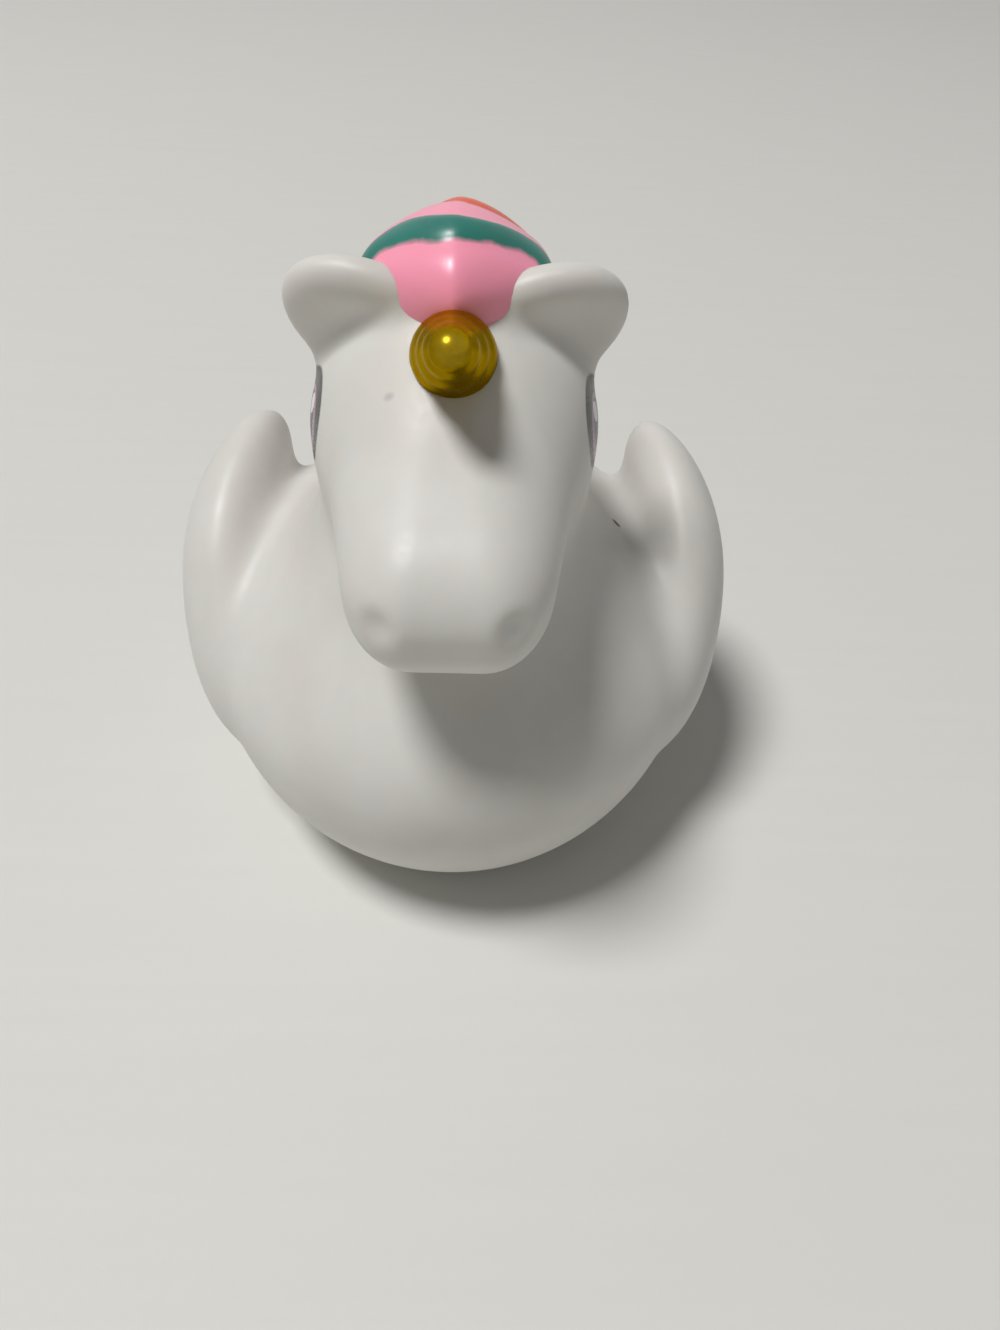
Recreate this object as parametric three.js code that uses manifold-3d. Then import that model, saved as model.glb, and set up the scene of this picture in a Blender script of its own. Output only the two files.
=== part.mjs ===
// A bath duck with a unicorn's head, moulded in one piece of soft vinyl: a hollow skin with a flat base
// and an air hole. Millimetres, +Z up, the face towards -Y, the origin under the middle at the base.
// Each form is a signed field, negative inside and about the distance to the surface outside it.
// Soft unions run the forms into each other as the moulding does, with a named blend at every seam.
import * as THREE from "three";
import { mergeVertices } from "three/addons/utils/BufferGeometryUtils.js";
import Module from "manifold-3d";

const wasm = await Module();
wasm.setup();

const { PI, abs, atan2, cos, hypot, max, min, sin, sqrt } = Math;
const radians = (degrees) => (degrees * PI) / 180;

// Driving dimensions, in millimetres and degrees; a share is a part of one
const WALL = 2; // moulded skin
const AIR_HOLE = 3; // diameter of the hole through the base

const BODY = { width: 78.5, length: 86, height: 54.5, middle: 29, back: 2, baseShare: 0.6 };
const TAIL = { rootRadius: 14, tipRadius: 5, flatness: 0.75, reach: 3, rise: 21, blend: 10 };
const WING = { length: 52, chord: 25, thickness: 13.6, slope: 42, hook: 4.5, blend: 6 };
const WING_SEAT = { inset: 2.6, back: 1, rise: 8 }; // middle of the wing from the body's flank and middle

const NECK = { lowRadius: 22, forward: 6, sink: 12, blend: 12 };
const SKULL = { width: 37, length: 38, height: 37, forward: 9, lift: 17.5 };
const MUZZLE = { width: 22.5, height: 18.5, depth: 17, round: 7.5, reach: 26.5, drop: 4.8, blend: 6 };
const BRIDGE = { inset: 1.1, blend: 4 }; // the taper from skull to muzzle, set in from both
const NOSTRIL = { radius: 2.3, depth: 1, spacing: 15, rise: 4, blend: 1.6 };

const EAR = { length: 18, width: 15, thickness: 7, lean: 47, sweep: 6, turn: 16, blend: 3 };
const EAR_SEAT = { spread: 40, sink: 7.6 }; // degrees from the crown, and depth of the root
const EAR_CUP = { depth: 1.7, margin: 2.2, blend: 2.4 };
const HORN = { length: 16, baseRadius: 5, tipRadius: 2.4, seat: 60, lift: 33, rings: 4, ringDepth: 0.4, sides: 20 };
const MANE = { from: 64, to: 238, width: 24, height: 9.5, edge: 2.5, peak: 1.6, root: 6, round: 3, blend: 1.4 };
const MANE_FLOW = { growsBy: 0.22, thinsFrom: 0.52, endShare: 0.15, waves: 6, waveDepth: 1, skew: 0.25 };

// Facets: fine over the head, coarse over the body and inside
const FINE_STEP = 2.5;
const COARSE_STEP = 4;
const CAVITY_STEP = 8;

// Field tools
const clamp = (value, low, high) => min(max(value, low), high);
const mix = (a, b, share) => a + (b - a) * share;
const ease = (low, high, value) => {
  const share = clamp((value - low) / (high - low), 0, 1);
  return share * share * (3 - 2 * share);
};

function ellipsoid(x, y, z, rx, ry, rz) {
  const reach = hypot(x / rx, y / ry, z / rz);
  const slope = hypot(x / (rx * rx), y / (ry * ry), z / (rz * rz));
  return slope < 1e-9 ? -min(rx, ry, rz) : (reach * (reach - 1)) / slope;
}

function roundBox(x, y, z, rx, ry, rz, round) {
  const [dx, dy, dz] = [abs(x) - rx + round, abs(y) - ry + round, abs(z) - rz + round];
  return hypot(max(dx, 0), max(dy, 0), max(dz, 0)) + min(max(dx, dy, dz), 0) - round;
}

function taper(x, y, z, from, to, fromRadius, toRadius) {
  const [ax, ay, az] = [to.x - from.x, to.y - from.y, to.z - from.z];
  const [px, py, pz] = [x - from.x, y - from.y, z - from.z];
  const share = clamp((px * ax + py * ay + pz * az) / (ax * ax + ay * ay + az * az), 0, 1);
  return hypot(px - share * ax, py - share * ay, pz - share * az) - mix(fromRadius, toRadius, share);
}

function softUnion(a, b, blend) {
  const overlap = max(blend - abs(a - b), 0) / blend;
  return min(a, b) - (overlap * overlap * blend) / 4;
}

const softCommon = (a, b, blend) => -softUnion(-a, -b, blend);
const softCut = (form, tool, blend) => softCommon(form, -tool, blend);

// Body: a hull that is rounded above and fuller below, down to the flat oval base
const hullTop = BODY.height - BODY.middle;
const hullDepth = BODY.middle / sqrt(1 - BODY.baseShare ** 2);

const bodyField = (x, y, z) => ellipsoid(
  x, y - BODY.back, z - BODY.middle,
  BODY.width / 2, BODY.length / 2, z > BODY.middle ? hullTop : hullDepth,
);

// Tail: short, upturned and wider than it is thick
const rump = BODY.back + BODY.length / 2;
const tailRoot = new THREE.Vector3(0, rump - TAIL.rootRadius, BODY.middle + TAIL.tipRadius);
const tailTip = new THREE.Vector3(0, rump + TAIL.reach, BODY.middle + TAIL.rise);
const tailField = (x, y, z) => taper(x * TAIL.flatness, y, z, tailRoot, tailTip, TAIL.rootRadius, TAIL.tipRadius);

// Wings: thick leaves on the flanks, both ends hooked in towards the body and the tips raised beside the back
const wingSeat = new THREE.Vector3(
  BODY.width / 2 - WING_SEAT.inset,
  BODY.back + WING_SEAT.back,
  BODY.middle + WING_SEAT.rise,
);

function wingField(x, y, z) {
  const [dy, dz] = [y - wingSeat.y, z - wingSeat.z];
  const [rise, run] = [sin(radians(WING.slope)), cos(radians(WING.slope))];
  const along = dy * run + dz * rise;
  const across = dz * run - dy * rise;
  const share = clamp((2 * along) / WING.length, -1, 1);
  const out = abs(x) - wingSeat.x + WING.hook * share * share;
  return ellipsoid(out, along, across, WING.thickness / 2, WING.length / 2, WING.chord / 2);
}

// Head: skull, bridge and muzzle on a short neck
const skull = new THREE.Vector3(0, -SKULL.forward, BODY.height + SKULL.lift);
const neckFoot = new THREE.Vector3(0, -NECK.forward, BODY.height - NECK.sink);
const nose = new THREE.Vector3(0, skull.y - MUZZLE.reach, skull.z - MUZZLE.drop);

function headField(x, y, z) {
  const cranium = ellipsoid(x, y - skull.y, z - skull.z, SKULL.width / 2, SKULL.length / 2, SKULL.height / 2);
  const [cheek, lip] = [SKULL.width / 2 - BRIDGE.inset, MUZZLE.width / 2 - BRIDGE.inset];
  const bridge = taper(x, y, z, skull, nose, cheek, lip);
  const [mx, my, mz] = [MUZZLE.width / 2, MUZZLE.depth / 2, MUZZLE.height / 2];
  const muzzle = roundBox(x, y - nose.y, z - nose.z, mx, my, mz, MUZZLE.round);
  const neck = taper(x, y, z, neckFoot, skull, NECK.lowRadius, cheek - BRIDGE.inset);
  const face = softUnion(softUnion(cranium, bridge, BRIDGE.blend), muzzle, MUZZLE.blend);
  return softUnion(face, neck, BRIDGE.blend);
}

// Nostrils: shallow dents sunk from where the muzzle's surface is met from the front
function frontOf(x, z) {
  let y = nose.y - MUZZLE.depth;
  for (let i = 0; i < 60; i += 1) y += headField(x, y, z);
  return y;
}

const nostril = new THREE.Vector3(NOSTRIL.spacing / 2, 0, nose.z + NOSTRIL.rise);
nostril.y = frontOf(nostril.x, nostril.z) - NOSTRIL.radius + NOSTRIL.depth;
const nostrilField = (x, y, z) => hypot(abs(x) - nostril.x, y - nostril.y, z - nostril.z) - NOSTRIL.radius;

// Ears: cupped leaves that lean out from the crown
const earUp = new THREE.Vector3(
  sin(radians(EAR.lean)), sin(radians(EAR.sweep)), cos(radians(EAR.lean)),
).normalize();
const earAcross = new THREE.Vector3(cos(radians(EAR.turn)), sin(radians(EAR.turn)), 0);
earAcross.addScaledVector(earUp, -earAcross.dot(earUp)).normalize();
const earFront = new THREE.Vector3().crossVectors(earAcross, earUp);
const earMiddle = new THREE.Vector3(
  (SKULL.width / 2) * sin(radians(EAR_SEAT.spread)),
  skull.y,
  skull.z + (SKULL.height / 2) * cos(radians(EAR_SEAT.spread)),
).addScaledVector(earUp, EAR.length / 2 - EAR_SEAT.sink);

function earField(x, y, z) {
  const [px, py, pz] = [abs(x) - earMiddle.x, y - earMiddle.y, z - earMiddle.z];
  const along = px * earUp.x + py * earUp.y + pz * earUp.z;
  const across = px * earAcross.x + py * earAcross.y + pz * earAcross.z;
  const out = px * earFront.x + py * earFront.y + pz * earFront.z;
  const [length, width, thickness] = [EAR.length / 2, EAR.width / 2, EAR.thickness / 2];
  const leaf = ellipsoid(along, across, out, length, width, thickness);
  const rim = EAR_CUP.margin;
  const cup = ellipsoid(along, across, out - thickness, length - rim, width - rim, EAR_CUP.depth);
  return softCut(leaf, cup, EAR_CUP.blend);
}

// Mane: a peaked crest that follows the skull from behind the horn to the nape, in waves that lean to one side
function maneField(x, y, z) {
  const [back, up] = [y - skull.y, z - skull.z];
  const radius = hypot(back, up);
  const turn = (atan2(up, -back) * 180) / PI;
  const angle = turn < -90 ? turn + 360 : turn;
  const share = clamp((angle - MANE.from) / (MANE.to - MANE.from), 0, 1);
  const full = ease(0, MANE_FLOW.growsBy, share) * (1 - ease(MANE_FLOW.thinsFrom, 1, share));
  const swell = mix(MANE_FLOW.endShare, 1, full);
  const half = (MANE.width / 2) * sqrt(swell);
  const side = min(abs(x) / half, 1.5);
  const valley = 1 - abs(sin(PI * (MANE_FLOW.waves * share + MANE_FLOW.skew * (x / half))));
  const crest = swell * (mix(MANE.height, MANE.edge, side ** MANE.peak) - MANE_FLOW.waveDepth * valley);
  const scalp = radius / hypot(back / (SKULL.length / 2), up / (SKULL.height / 2), 1e-6);
  const lock = softCommon(radius - scalp - crest, abs(x) - half, MANE.round);
  const ends = radius * radians(max(MANE.from - angle, angle - MANE.to));
  return max(lock, ends, scalp - MANE.root - radius);
}

// Horn: a blunt ringed cone seated on the forehead
const hornAxis = new THREE.Vector3(0, -cos(radians(HORN.lift)), sin(radians(HORN.lift)));
const hornSeat = new THREE.Vector3(
  0,
  skull.y - (SKULL.length / 2) * cos(radians(HORN.seat)),
  skull.z + (SKULL.height / 2) * sin(radians(HORN.seat)),
);

function hornGeometry() {
  const steps = 4; // profile points to a ring, and to the rounded tip
  const rise = HORN.length - HORN.tipRadius;
  const profile = [new THREE.Vector2(0, -HORN.baseRadius), new THREE.Vector2(HORN.baseRadius, -HORN.baseRadius)];
  for (let i = 0; i <= HORN.rings * steps; i += 1) {
    const share = i / (HORN.rings * steps);
    const groove = HORN.ringDepth * (1 - abs(sin(PI * HORN.rings * share)));
    profile.push(new THREE.Vector2(mix(HORN.baseRadius, HORN.tipRadius, share) - groove, rise * share));
  }
  for (let i = 1; i <= steps; i += 1) {
    const angle = (PI / 2) * (i / steps);
    const radius = i === steps ? 0 : (HORN.tipRadius - HORN.ringDepth) * cos(angle);
    profile.push(new THREE.Vector2(radius, rise + HORN.tipRadius * sin(angle)));
  }
  const turned = new THREE.LatheGeometry(profile, HORN.sides);
  turned.applyQuaternion(new THREE.Quaternion().setFromUnitVectors(new THREE.Vector3(0, 1, 0), hornAxis));
  return turned.translate(hornSeat.x, hornSeat.y, hornSeat.z);
}

// The whole outer form, and the plain form that the hollow follows
const plainField = (x, y, z) => softUnion(bodyField(x, y, z), headField(x, y, z), NECK.blend);

function duckField(x, y, z) {
  let form = plainField(x, y, z);
  form = softUnion(form, tailField(x, y, z), TAIL.blend);
  form = softUnion(form, wingField(x, y, z), WING.blend);
  form = softUnion(form, earField(x, y, z), EAR.blend);
  form = softUnion(form, maneField(x, y, z), MANE.blend);
  return softCut(form, nostrilField(x, y, z), NOSTRIL.blend);
}

// Grid corners that meet only across a diagonal are filled, so that every seam of a surface stays whole
const CORNERS = [0, 1, 2, 3, 4, 5, 6, 7];
const FILLED = -0.01;

function isSplit(corners) {
  const met = new Set(corners.slice(0, 1));
  for (const corner of met)
    for (const next of [corner ^ 1, corner ^ 2, corner ^ 4]) if (corners.includes(next)) met.add(next);
  return met.size < corners.length;
}

function closeDiagonals(values, cells, placeOf) {
  let changed = true;
  while (changed) {
    changed = false;
    for (const [i, j, k] of cells) {
      const places = CORNERS.map((corner) => placeOf(i, j, k, corner));
      const empty = CORNERS.filter((corner) => values[places[corner]] >= 0);
      const solid = CORNERS.filter((corner) => values[places[corner]] < 0);
      if (!isSplit(empty) && !isSplit(solid)) continue;
      const nearest = empty.reduce((a, b) => (values[places[a]] < values[places[b]] ? a : b));
      values[places[nearest]] = FILLED;
      changed = true;
    }
  }
}

// A point moved onto a field's surface along the slope, no further than a limit
function settle(field, point, limit) {
  const { x, y, z } = point;
  const dab = 0.05;
  const value = field(x, y, z);
  const slope = new THREE.Vector3(field(x + dab, y, z), field(x, y + dab, z), field(x, y, z + dab));
  slope.subScalar(value).divideScalar(dab);
  const move = clamp(-value / max(slope.lengthSq(), 0.1), -limit, limit);
  return point.addScaledVector(slope, move);
}

// Surface of a field over a grid of lines: one vertex in each cell that the surface crosses
function surfaceOf(field, [xs, ys, zs]) {
  const [nx, ny, nz] = [xs.length, ys.length, zs.length];
  const at = (i, j, k) => i + nx * (j + ny * k);
  const placeOf = (i, j, k, corner) => at(i + (corner & 1), j + ((corner >> 1) & 1), k + (corner >> 2));
  const values = new Float64Array(nx * ny * nz);
  const cells = [];
  for (let k = 0; k < nz; k += 1)
    for (let j = 0; j < ny; j += 1)
      for (let i = 0; i < nx; i += 1) {
        values[at(i, j, k)] = field(xs[i], ys[j], zs[k]);
        if (i && j && k) cells.push([i - 1, j - 1, k - 1]);
      }
  closeDiagonals(values, cells, placeOf);

  const points = [];
  const vertexOf = new Int32Array(values.length);
  for (const [i, j, k] of cells) {
    const middle = new THREE.Vector3();
    let crossings = 0;
    for (const a of CORNERS)
      for (const b of [a | 1, a | 2, a | 4]) {
        const [from, to] = [values[placeOf(i, j, k, a)], values[placeOf(i, j, k, b)]];
        if (from < 0 === to < 0) continue;
        const share = from / (from - to);
        middle.x += mix(a & 1, b & 1, share);
        middle.y += mix((a >> 1) & 1, (b >> 1) & 1, share);
        middle.z += mix(a >> 2, b >> 2, share);
        crossings += 1;
      }
    if (!crossings) continue;
    const low = new THREE.Vector3(xs[i], ys[j], zs[k]);
    const size = new THREE.Vector3(xs[i + 1], ys[j + 1], zs[k + 1]).sub(low);
    middle.divideScalar(crossings).multiply(size).add(low);
    vertexOf[at(i, j, k)] = points.length;
    points.push(settle(field, middle, min(...size.toArray()) / 2));
  }

  const triangles = [];
  const quad = (a, b, c, d, inside) => triangles.push(...(inside ? [a, b, c, a, c, d] : [a, c, b, a, d, c]));
  for (const [i, j, k] of cells) {
    if (!i || !j || !k) continue;
    const inside = values[at(i, j, k)] < 0;
    const v = (di, dj, dk) => vertexOf[at(i - di, j - dj, k - dk)];
    const crosses = (corner) => inside !== values[placeOf(i, j, k, corner)] < 0;
    if (crosses(1)) quad(v(0, 1, 1), v(0, 0, 1), v(0, 0, 0), v(0, 1, 0), inside);
    if (crosses(2)) quad(v(1, 0, 1), v(1, 0, 0), v(0, 0, 0), v(0, 0, 1), inside);
    if (crosses(4)) quad(v(1, 1, 0), v(0, 1, 0), v(0, 0, 0), v(1, 0, 0), inside);
  }
  return new THREE.BufferGeometry().setFromPoints(points).setIndex(triangles);
}

// Closed geometry to a solid and back
function solidOf(geometry) {
  const bare = geometry.clone();
  bare.deleteAttribute("normal");
  bare.deleteAttribute("uv");
  const merged = mergeVertices(bare);
  return new wasm.Manifold(
    new wasm.Mesh({
      numProp: 3,
      vertProperties: merged.attributes.position.array,
      triVerts: new Uint32Array(merged.index.array),
    }),
  );
}

function geometryOf(solid) {
  const mesh = solid.getMesh();
  const geometry = new THREE.BufferGeometry();
  geometry.setAttribute("position", new THREE.BufferAttribute(mesh.vertProperties, 3));
  geometry.setIndex(new THREE.BufferAttribute(mesh.triVerts, 1));
  geometry.computeVertexNormals();
  return geometry;
}

// Grid lines across the whole form, with the finer step inside the head's reach
const margin = 2 * COARSE_STEP;
const halfWidth = wingSeat.x + WING.thickness + margin;
const front = nose.y - MUZZLE.depth - margin;
const back = tailTip.y + TAIL.rootRadius + margin;
const bottom = BODY.middle - hullDepth - margin;
const top = skull.z + SKULL.height / 2 + MANE.height + margin;
const headHalf = SKULL.width / 2 + EAR.length / 2;

function lines(low, high, stepAt) {
  const made = [low];
  while (made.at(-1) < high) made.push(made.at(-1) + stepAt(made.at(-1)));
  return made;
}

function headStep(value, low, high) {
  const outside = max(low - value, value - high);
  return mix(FINE_STEP, COARSE_STEP, ease(0, margin, outside));
}

const halfLines = lines(FINE_STEP / 2, halfWidth, (x) => headStep(x, 0, headHalf));
const outerGrid = [
  [...halfLines.map((x) => -x).reverse(), ...halfLines],
  lines(front, back, (y) => headStep(y, front, skull.y + SKULL.length / 2)),
  lines(bottom, top, (z) => headStep(z, BODY.height, top)),
];
const even = (low, high) => lines(low, high, () => CAVITY_STEP);
const cavityGrid = [even(-halfWidth, halfWidth), even(front, back), even(bottom, top)];

// The moulding: outer form with its horn, cut flat below, hollowed, and pierced by the air hole
const slabSize = 4 * BODY.length;
const slabUnder = (z) => solidOf(new THREE.BoxGeometry(slabSize, slabSize, slabSize).translate(0, 0, z - slabSize / 2));
const outside = solidOf(surfaceOf(duckField, outerGrid)).add(solidOf(hornGeometry())).subtract(slabUnder(0));
const hollow = solidOf(surfaceOf((x, y, z) => plainField(x, y, z) + WALL, cavityGrid)).subtract(slabUnder(WALL));
const hole = new THREE.CylinderGeometry(AIR_HOLE / 2, AIR_HOLE / 2, 4 * WALL, 16).rotateX(PI / 2);
const skin = outside.subtract(hollow).subtract(solidOf(hole));

const vinyl = new THREE.MeshStandardMaterial({ color: 0xe9e8e4, roughness: 0.5, metalness: 0 });
const duck = new THREE.Mesh(geometryOf(skin), vinyl);
duck.name = "duck";
const outline = new THREE.Box3().setFromObject(duck);
duck.geometry.translate(0, -(outline.min.y + outline.max.y) / 2, 0);

const part = new THREE.Group();
part.add(duck);
export default part;
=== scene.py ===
import math

import bmesh
import bpy
import numpy as np
from bpy.props import FloatProperty, FloatVectorProperty, IntProperty, PointerProperty
from mathutils import Matrix, Vector


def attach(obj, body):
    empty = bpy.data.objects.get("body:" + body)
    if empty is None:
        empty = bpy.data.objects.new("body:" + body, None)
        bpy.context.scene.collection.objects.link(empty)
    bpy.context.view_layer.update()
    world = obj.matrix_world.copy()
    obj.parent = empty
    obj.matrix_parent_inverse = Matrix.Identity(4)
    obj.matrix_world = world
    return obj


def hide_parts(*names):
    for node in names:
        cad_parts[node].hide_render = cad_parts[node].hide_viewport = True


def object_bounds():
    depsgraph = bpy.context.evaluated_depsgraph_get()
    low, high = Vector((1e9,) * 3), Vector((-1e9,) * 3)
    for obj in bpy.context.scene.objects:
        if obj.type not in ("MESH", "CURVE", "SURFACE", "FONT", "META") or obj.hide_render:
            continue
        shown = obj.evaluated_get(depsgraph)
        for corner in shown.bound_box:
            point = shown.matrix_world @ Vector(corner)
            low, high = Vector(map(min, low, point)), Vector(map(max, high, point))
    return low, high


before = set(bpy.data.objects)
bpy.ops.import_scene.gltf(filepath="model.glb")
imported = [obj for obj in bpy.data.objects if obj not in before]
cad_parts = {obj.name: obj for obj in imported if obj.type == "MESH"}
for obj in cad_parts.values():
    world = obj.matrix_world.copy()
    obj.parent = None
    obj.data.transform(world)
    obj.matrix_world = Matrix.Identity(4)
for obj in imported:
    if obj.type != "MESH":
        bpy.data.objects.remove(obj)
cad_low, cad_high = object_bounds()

bl_info = {
    "name": "Unicorn bath duck",
    "version": (1, 0, 0),
    "blender": (4, 5, 0),
    "location": "3D View > Sidebar > Duck",
    "description": "Builds a vinyl bath duck with a unicorn's head, and the stage that it stands on",
    "category": "Add Mesh",
}

MM = 0.001
NODE = "duck"
BODY = "root"

SKIN_STEP = 0.8 * MM
MANE_STEP = 0.5 * MM
RELAX_ROUNDS = 6
SLOPE_DAB = 0.02 * MM
BASE_ROUND = 2.0 * MM
HOLE_ROUND = 0.6 * MM
NOSTRIL_ROUNDS = 60
HORN_POINTS = 140
HORN_SIDES = 80

# Shape of the mane along its length, as shares of its length, height and width
MANE_GROWS = 0.18
MANE_THINS = 0.52
MANE_ENDS = 0.03
MANE_SWAYS = 1.2
MANE_BROADENS = 2.0
MANE_PEAK = 1.6
MANE_OVERHANG = 1.5

# Where the locks begin and how they end, counted in locks
LOCKS_BEGIN = -0.4
LOCKS_FADE = 8
GROOVES_BEGIN = -0.5
RELIEF_EDGE = 0.1

# Noises in the finishes, as their scale per metre
VINYL_CLOUDS = 70
VINYL_PORES = 900
VINYL_GRAIN = 3500
PAINT_STREAKS = 150
PAINT_EDGES = 420
PAINT_PEEL = 1400
GOLD_CLOUDS = 260
GOLD_FLAKES = 5200
FLOOR_BOARDS = 4
FLOOR_GRAIN = 700

# Lamp and floor, in metres
KEY_PLACE = (-0.6, -0.24, 1.8)
KEY_AIM = (0, 0, 0.04)
FLOOR_FADES = 0.7
FLOOR_FADED = 2.2


def size(name, description, millimetres):
    """A length held in metres and written in millimetres"""
    return FloatProperty(
        name=name, description=description, default=millimetres * MM,
        precision=5, unit="LENGTH", subtype="DISTANCE",
    )


def turn(name, description, degrees):
    """An angle held in radians and written in degrees"""
    return FloatProperty(
        name=name, description=description, default=math.radians(degrees),
        unit="ROTATION", subtype="ANGLE",
    )


def portion(name, description, value):
    """A part of one"""
    return FloatProperty(
        name=name, description=description, default=value, min=0, max=1, subtype="FACTOR",
    )


def linear(code):
    """Red, green and blue in linear light from a six-figure colour code"""
    shares = [int(code[i:i + 2], 16) / 255 for i in (0, 2, 4)]
    return [s / 12.92 if s <= 0.04045 else ((s + 0.055) / 1.055) ** 2.4 for s in shares]


def colour(name, description, code):
    """A paint or vinyl colour"""
    return FloatVectorProperty(
        name=name, description=description, default=linear(code), size=3, min=0, max=1, subtype="COLOR",
    )


class DuckBody(bpy.types.PropertyGroup):
    """Body, tail and base"""

    width: size("Width", "Body across the flanks", 78.5)
    length: size("Length", "Body from chest to rump", 88)
    height: size("Height", "Body from the floor to the back", 54.5)
    middle: size("Middle", "Height of the widest part", 29)
    back: size("Set back", "Middle of the body behind the air hole", 1)
    base_width: size("Base width", "Flat base from side to side", 49)
    centring: size("Centring", "Shift that puts the middle of the outline over the origin", 3.265)
    hole: size("Air hole", "Diameter of the hole in the base", 3)
    hole_depth: size("Hole depth", "Depth of the hole in the base", 5)
    tail_root: size("Tail root", "Radius where the tail leaves the rump", 14)
    tail_tip: size("Tail tip", "Radius of the tail's tip", 5)
    tail_reach: size("Tail reach", "Tail behind the rump", 3)
    tail_rise: size("Tail rise", "Tail tip above the middle", 21)
    tail_flatness: portion("Tail flatness", "Thickness of the tail for its width", 0.75)
    tail_blend: size("Tail blend", "Softness where the tail meets the body", 10)


class DuckWing(bpy.types.PropertyGroup):
    """Wings on the flanks"""

    length: size("Length", "Wing from end to end", 52)
    chord: size("Chord", "Wing across its middle", 31)
    thickness: size("Thickness", "Wing from inside to outside", 16.2)
    slope: turn("Slope", "Rise of the wing towards the back", 42)
    hook: size("Hook", "Tip drawn in towards the body", 4.5)
    foot_hook: size("Foot hook", "Lower end drawn in towards the body", 1.8)
    inset: size("Inset", "Middle of the wing inside the flank", 3.9)
    back: size("Set back", "Middle of the wing behind the body's middle", 2)
    rise: size("Rise", "Middle of the wing above the body's middle", 8)
    blend: size("Blend", "Softness where the wing meets the body", 5)


class DuckHead(bpy.types.PropertyGroup):
    """Neck, skull and muzzle"""

    neck_radius: size("Neck radius", "Foot of the neck", 22)
    neck_forward: size("Neck forward", "Foot of the neck before the air hole", 6)
    neck_sink: size("Neck sink", "Foot of the neck below the back", 12)
    neck_blend: size("Neck blend", "Softness where the neck meets the body", 12)
    width: size("Skull width", "Skull from side to side", 37)
    length: size("Skull length", "Skull from front to back", 38)
    height: size("Skull height", "Skull from top to bottom", 37)
    forward: size("Skull forward", "Middle of the skull before the air hole", 9)
    lift: size("Skull lift", "Middle of the skull above the back", 17.5)
    cheek_inset: size("Cheek inset", "Cheeks set in from the skull", 1.1)
    muzzle_width: size("Muzzle width", "Front of the muzzle from side to side", 21.4)
    muzzle_height: size("Muzzle height", "Front of the muzzle from top to bottom", 15.4)
    muzzle_round: size("Muzzle round", "Radius of the muzzle's front edges", 6.6)
    muzzle_reach: size("Muzzle reach", "Front of the muzzle before the middle of the skull", 37.4)
    muzzle_drop: size("Muzzle drop", "Front of the muzzle below the middle of the skull", 5.2)
    face_blend: size("Face blend", "Softness where the face meets skull and neck", 4)
    nostril_radius: size("Nostril radius", "Round of each dent", 2.3)
    nostril_depth: size("Nostril depth", "Depth of each dent", 0.28)
    nostril_spacing: size("Nostril spacing", "Between the two dents", 17)
    nostril_rise: size("Nostril rise", "Dents above the middle of the muzzle", 3)
    nostril_blend: size("Nostril blend", "Softness of the dents' edges", 1.6)


class DuckEar(bpy.types.PropertyGroup):
    """Cupped ears"""

    length: size("Length", "Ear from root to tip", 28)
    width: size("Width", "Ear across", 20.5)
    thickness: size("Thickness", "Ear from front to back", 9.5)
    lean: turn("Lean", "Ear outwards from upright", 52)
    sweep: turn("Sweep", "Ear backwards from upright", -7)
    turned: turn("Turn", "Cup turned outwards from the front", 12)
    spread: turn("Spread", "Root from the crown", 38)
    sink: size("Sink", "Root inside the skull", 18)
    cup_depth: size("Cup depth", "Hollow in the front of the ear", 2.8)
    cup_margin: size("Cup margin", "Rim left round the hollow", 2.6)
    cup_blend: size("Cup blend", "Softness of the hollow's edge", 4)
    blend: size("Blend", "Softness where the ear meets the skull", 3)


class DuckMane(bpy.types.PropertyGroup):
    """Mane with painted locks"""

    start: turn("Start", "Fringe, from the front of the skull over the crown", 63.5)
    end: turn("End", "Nape, from the front of the skull over the crown", 238)
    width: size("Width", "Mane from side to side", 24)
    height: size("Height", "Crest above the skull", 8.6)
    edge: size("Edge", "Sides above the skull", 2.5)
    root: size("Root", "Depth inside the skull", 6)
    round: size("Round", "Softness of the mane's shoulders", 3)
    first_lock: turn("First lock", "Lower edge of the first painted lock", 85)
    lock_spacing: turn("Lock spacing", "From one lock to the next", 29.5)
    lock_width: portion("Painted width", "Part of each lock that carries a second colour", 0.29)
    sway: turn("Sway", "Waves of the locks' edges", 3)
    wave: size("Wave length", "One wave of the locks' edges", 18)
    drift: size("Drift", "Sideways step of the waves from lock to lock", 2.7)
    groove: size("Groove", "Depth between the locks", 0.55)
    relief: size("Relief", "Painted part of a lock above the rest", 0.5)


class DuckHorn(bpy.types.PropertyGroup):
    """Ringed horn"""

    length: size("Length", "Horn above the forehead", 16)
    base_radius: size("Base radius", "Foot of the horn", 5.2)
    tip_radius: size("Tip radius", "Blunt tip", 2.4)
    seat: turn("Seat", "Foot of the horn, up from the front of the skull", 57)
    lift: turn("Lift", "Axis up from level", 30.5)
    sink: size("Sink", "Foot inside the skull", 5)
    rings: IntProperty(name="Rings", description="Swellings along the horn", default=3, min=1)
    ring_depth: size("Ring depth", "Grooves between the rings", 0.18)


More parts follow.
